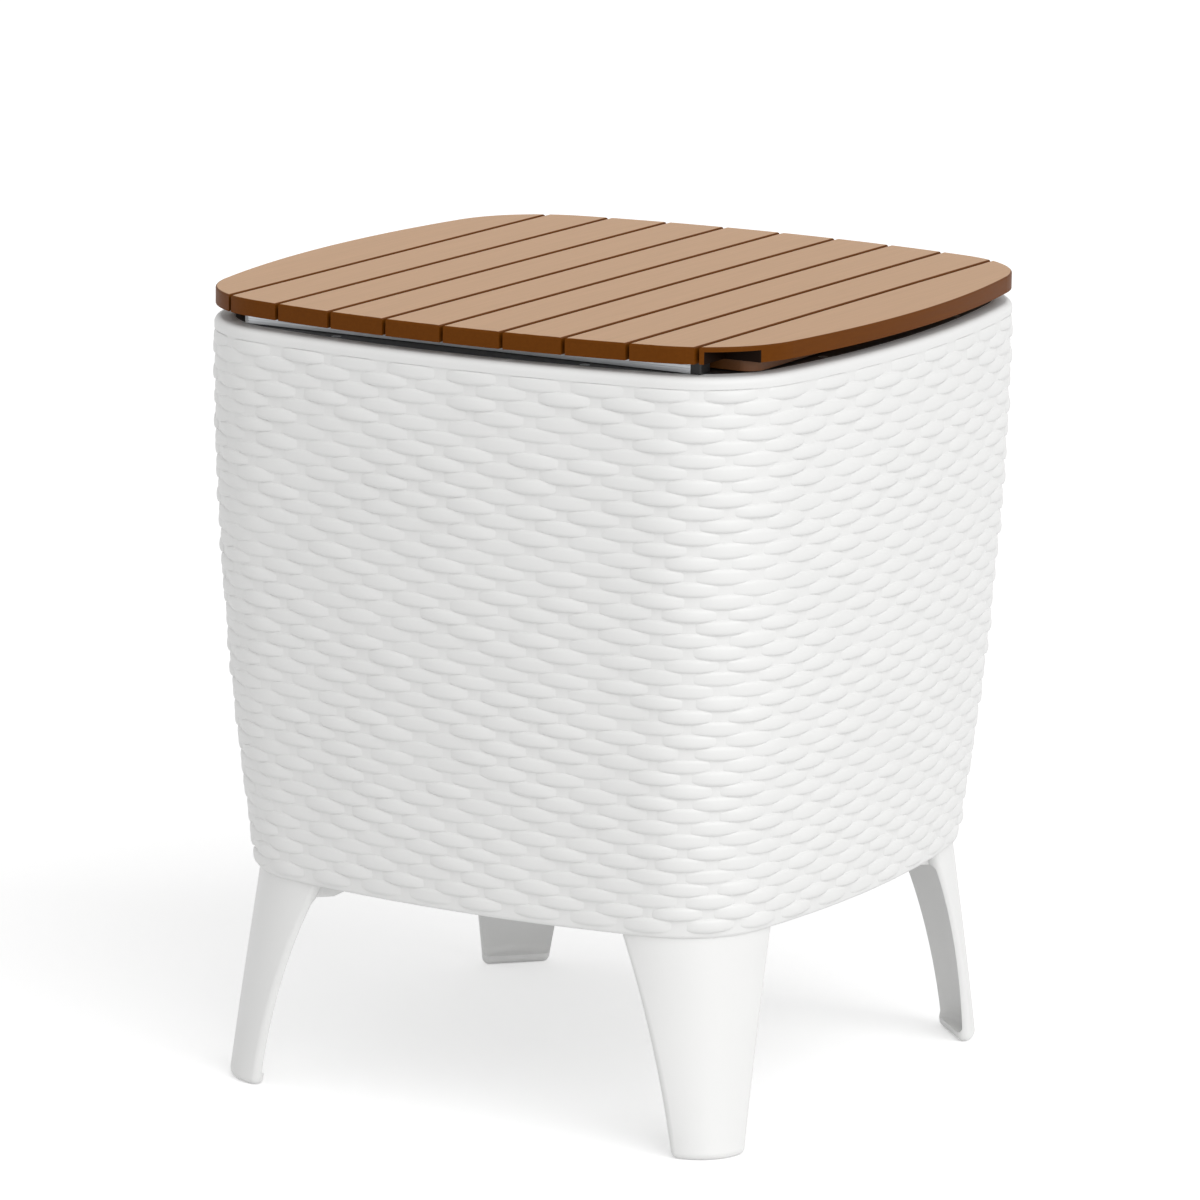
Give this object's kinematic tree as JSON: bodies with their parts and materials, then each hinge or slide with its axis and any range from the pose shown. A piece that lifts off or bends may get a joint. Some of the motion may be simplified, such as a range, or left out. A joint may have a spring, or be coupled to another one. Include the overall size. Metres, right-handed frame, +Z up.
{
  "type": "cooler table",
  "caption": "Square patio side table with a woven-look tub on splayed legs and a slatted top that slides aside on rails to open the cooler.",
  "frame": {"origin": "on the floor under the middle of the table", "axes": "+Z up, +X to the right, the way the top slides, +Y to the back; the rail seen in the picture is on the -Y side"},
  "size_m": [0.492, 0.492, 0.5765],
  "materials": {
    "woven_resin": "moulded woven-reed relief, satin white",
    "white_resin": "smooth moulded, satin white",
    "liner_resin": "smooth moulded, dark graphite",
    "brown_slat": "moulded resin with faint wood grain",
    "brown_panel": "moulded resin, dark brown",
    "rail_aluminium": "extruded, clear anodised",
    "black_plastic": "moulded acetal, black",
    "grey_resin": "moulded, light grey",
    "black_rubber": "moulded rubber, matt black",
    "white_foam": "moulded bead foam",
    "screw_steel": "stainless"
  },
  "bodies": {
    "body": {"outer_shell": "woven_resin", "cooler_tub": "liner_resin", "leg_front_left": "white_resin", "leg_front_right": "white_resin", "leg_back_left": "white_resin", "leg_back_right": "white_resin", "leg_screws": "screw_steel", "tub_screws": "screw_steel", "glide_shoe_front_middle": "black_plastic", "glide_shoe_front_right": "black_plastic", "glide_shoe_back_middle": "black_plastic", "glide_shoe_back_right": "black_plastic", "shoe_screws": "screw_steel", "drain_spout": "grey_resin", "drain_gasket": "black_rubber", "drain_nut": "grey_resin"},
    "top": {"slat_01": "brown_slat", "slat_02": "brown_slat", "slat_03": "brown_slat", "slat_04": "brown_slat", "slat_05": "brown_slat", "slat_06": "brown_slat", "slat_07": "brown_slat", "slat_08": "brown_slat", "slat_09": "brown_slat", "slat_10": "brown_slat", "front_rail": "rail_aluminium", "back_rail": "rail_aluminium", "front_rail_closed_stop": "black_plastic", "back_rail_closed_stop": "black_plastic", "front_rail_open_stop": "grey_resin", "back_rail_open_stop": "grey_resin", "rail_screws": "screw_steel", "lid_panel": "brown_panel", "lid_insulation": "white_foam", "panel_screws": "screw_steel"},
    "drain_plug": {"drain_plug": "black_rubber"}
  },
  "joints": [
    {"name": "top_slide", "type": "slide", "parent": "body", "child": "top", "axis": [1, 0, 0], "range_m": [0, 0.2]},
    {"name": "drain_plug_pull", "type": "slide", "parent": "body", "child": "drain_plug", "axis": [0, 0, -1], "range_m": [0, 0.03]}
  ]
}
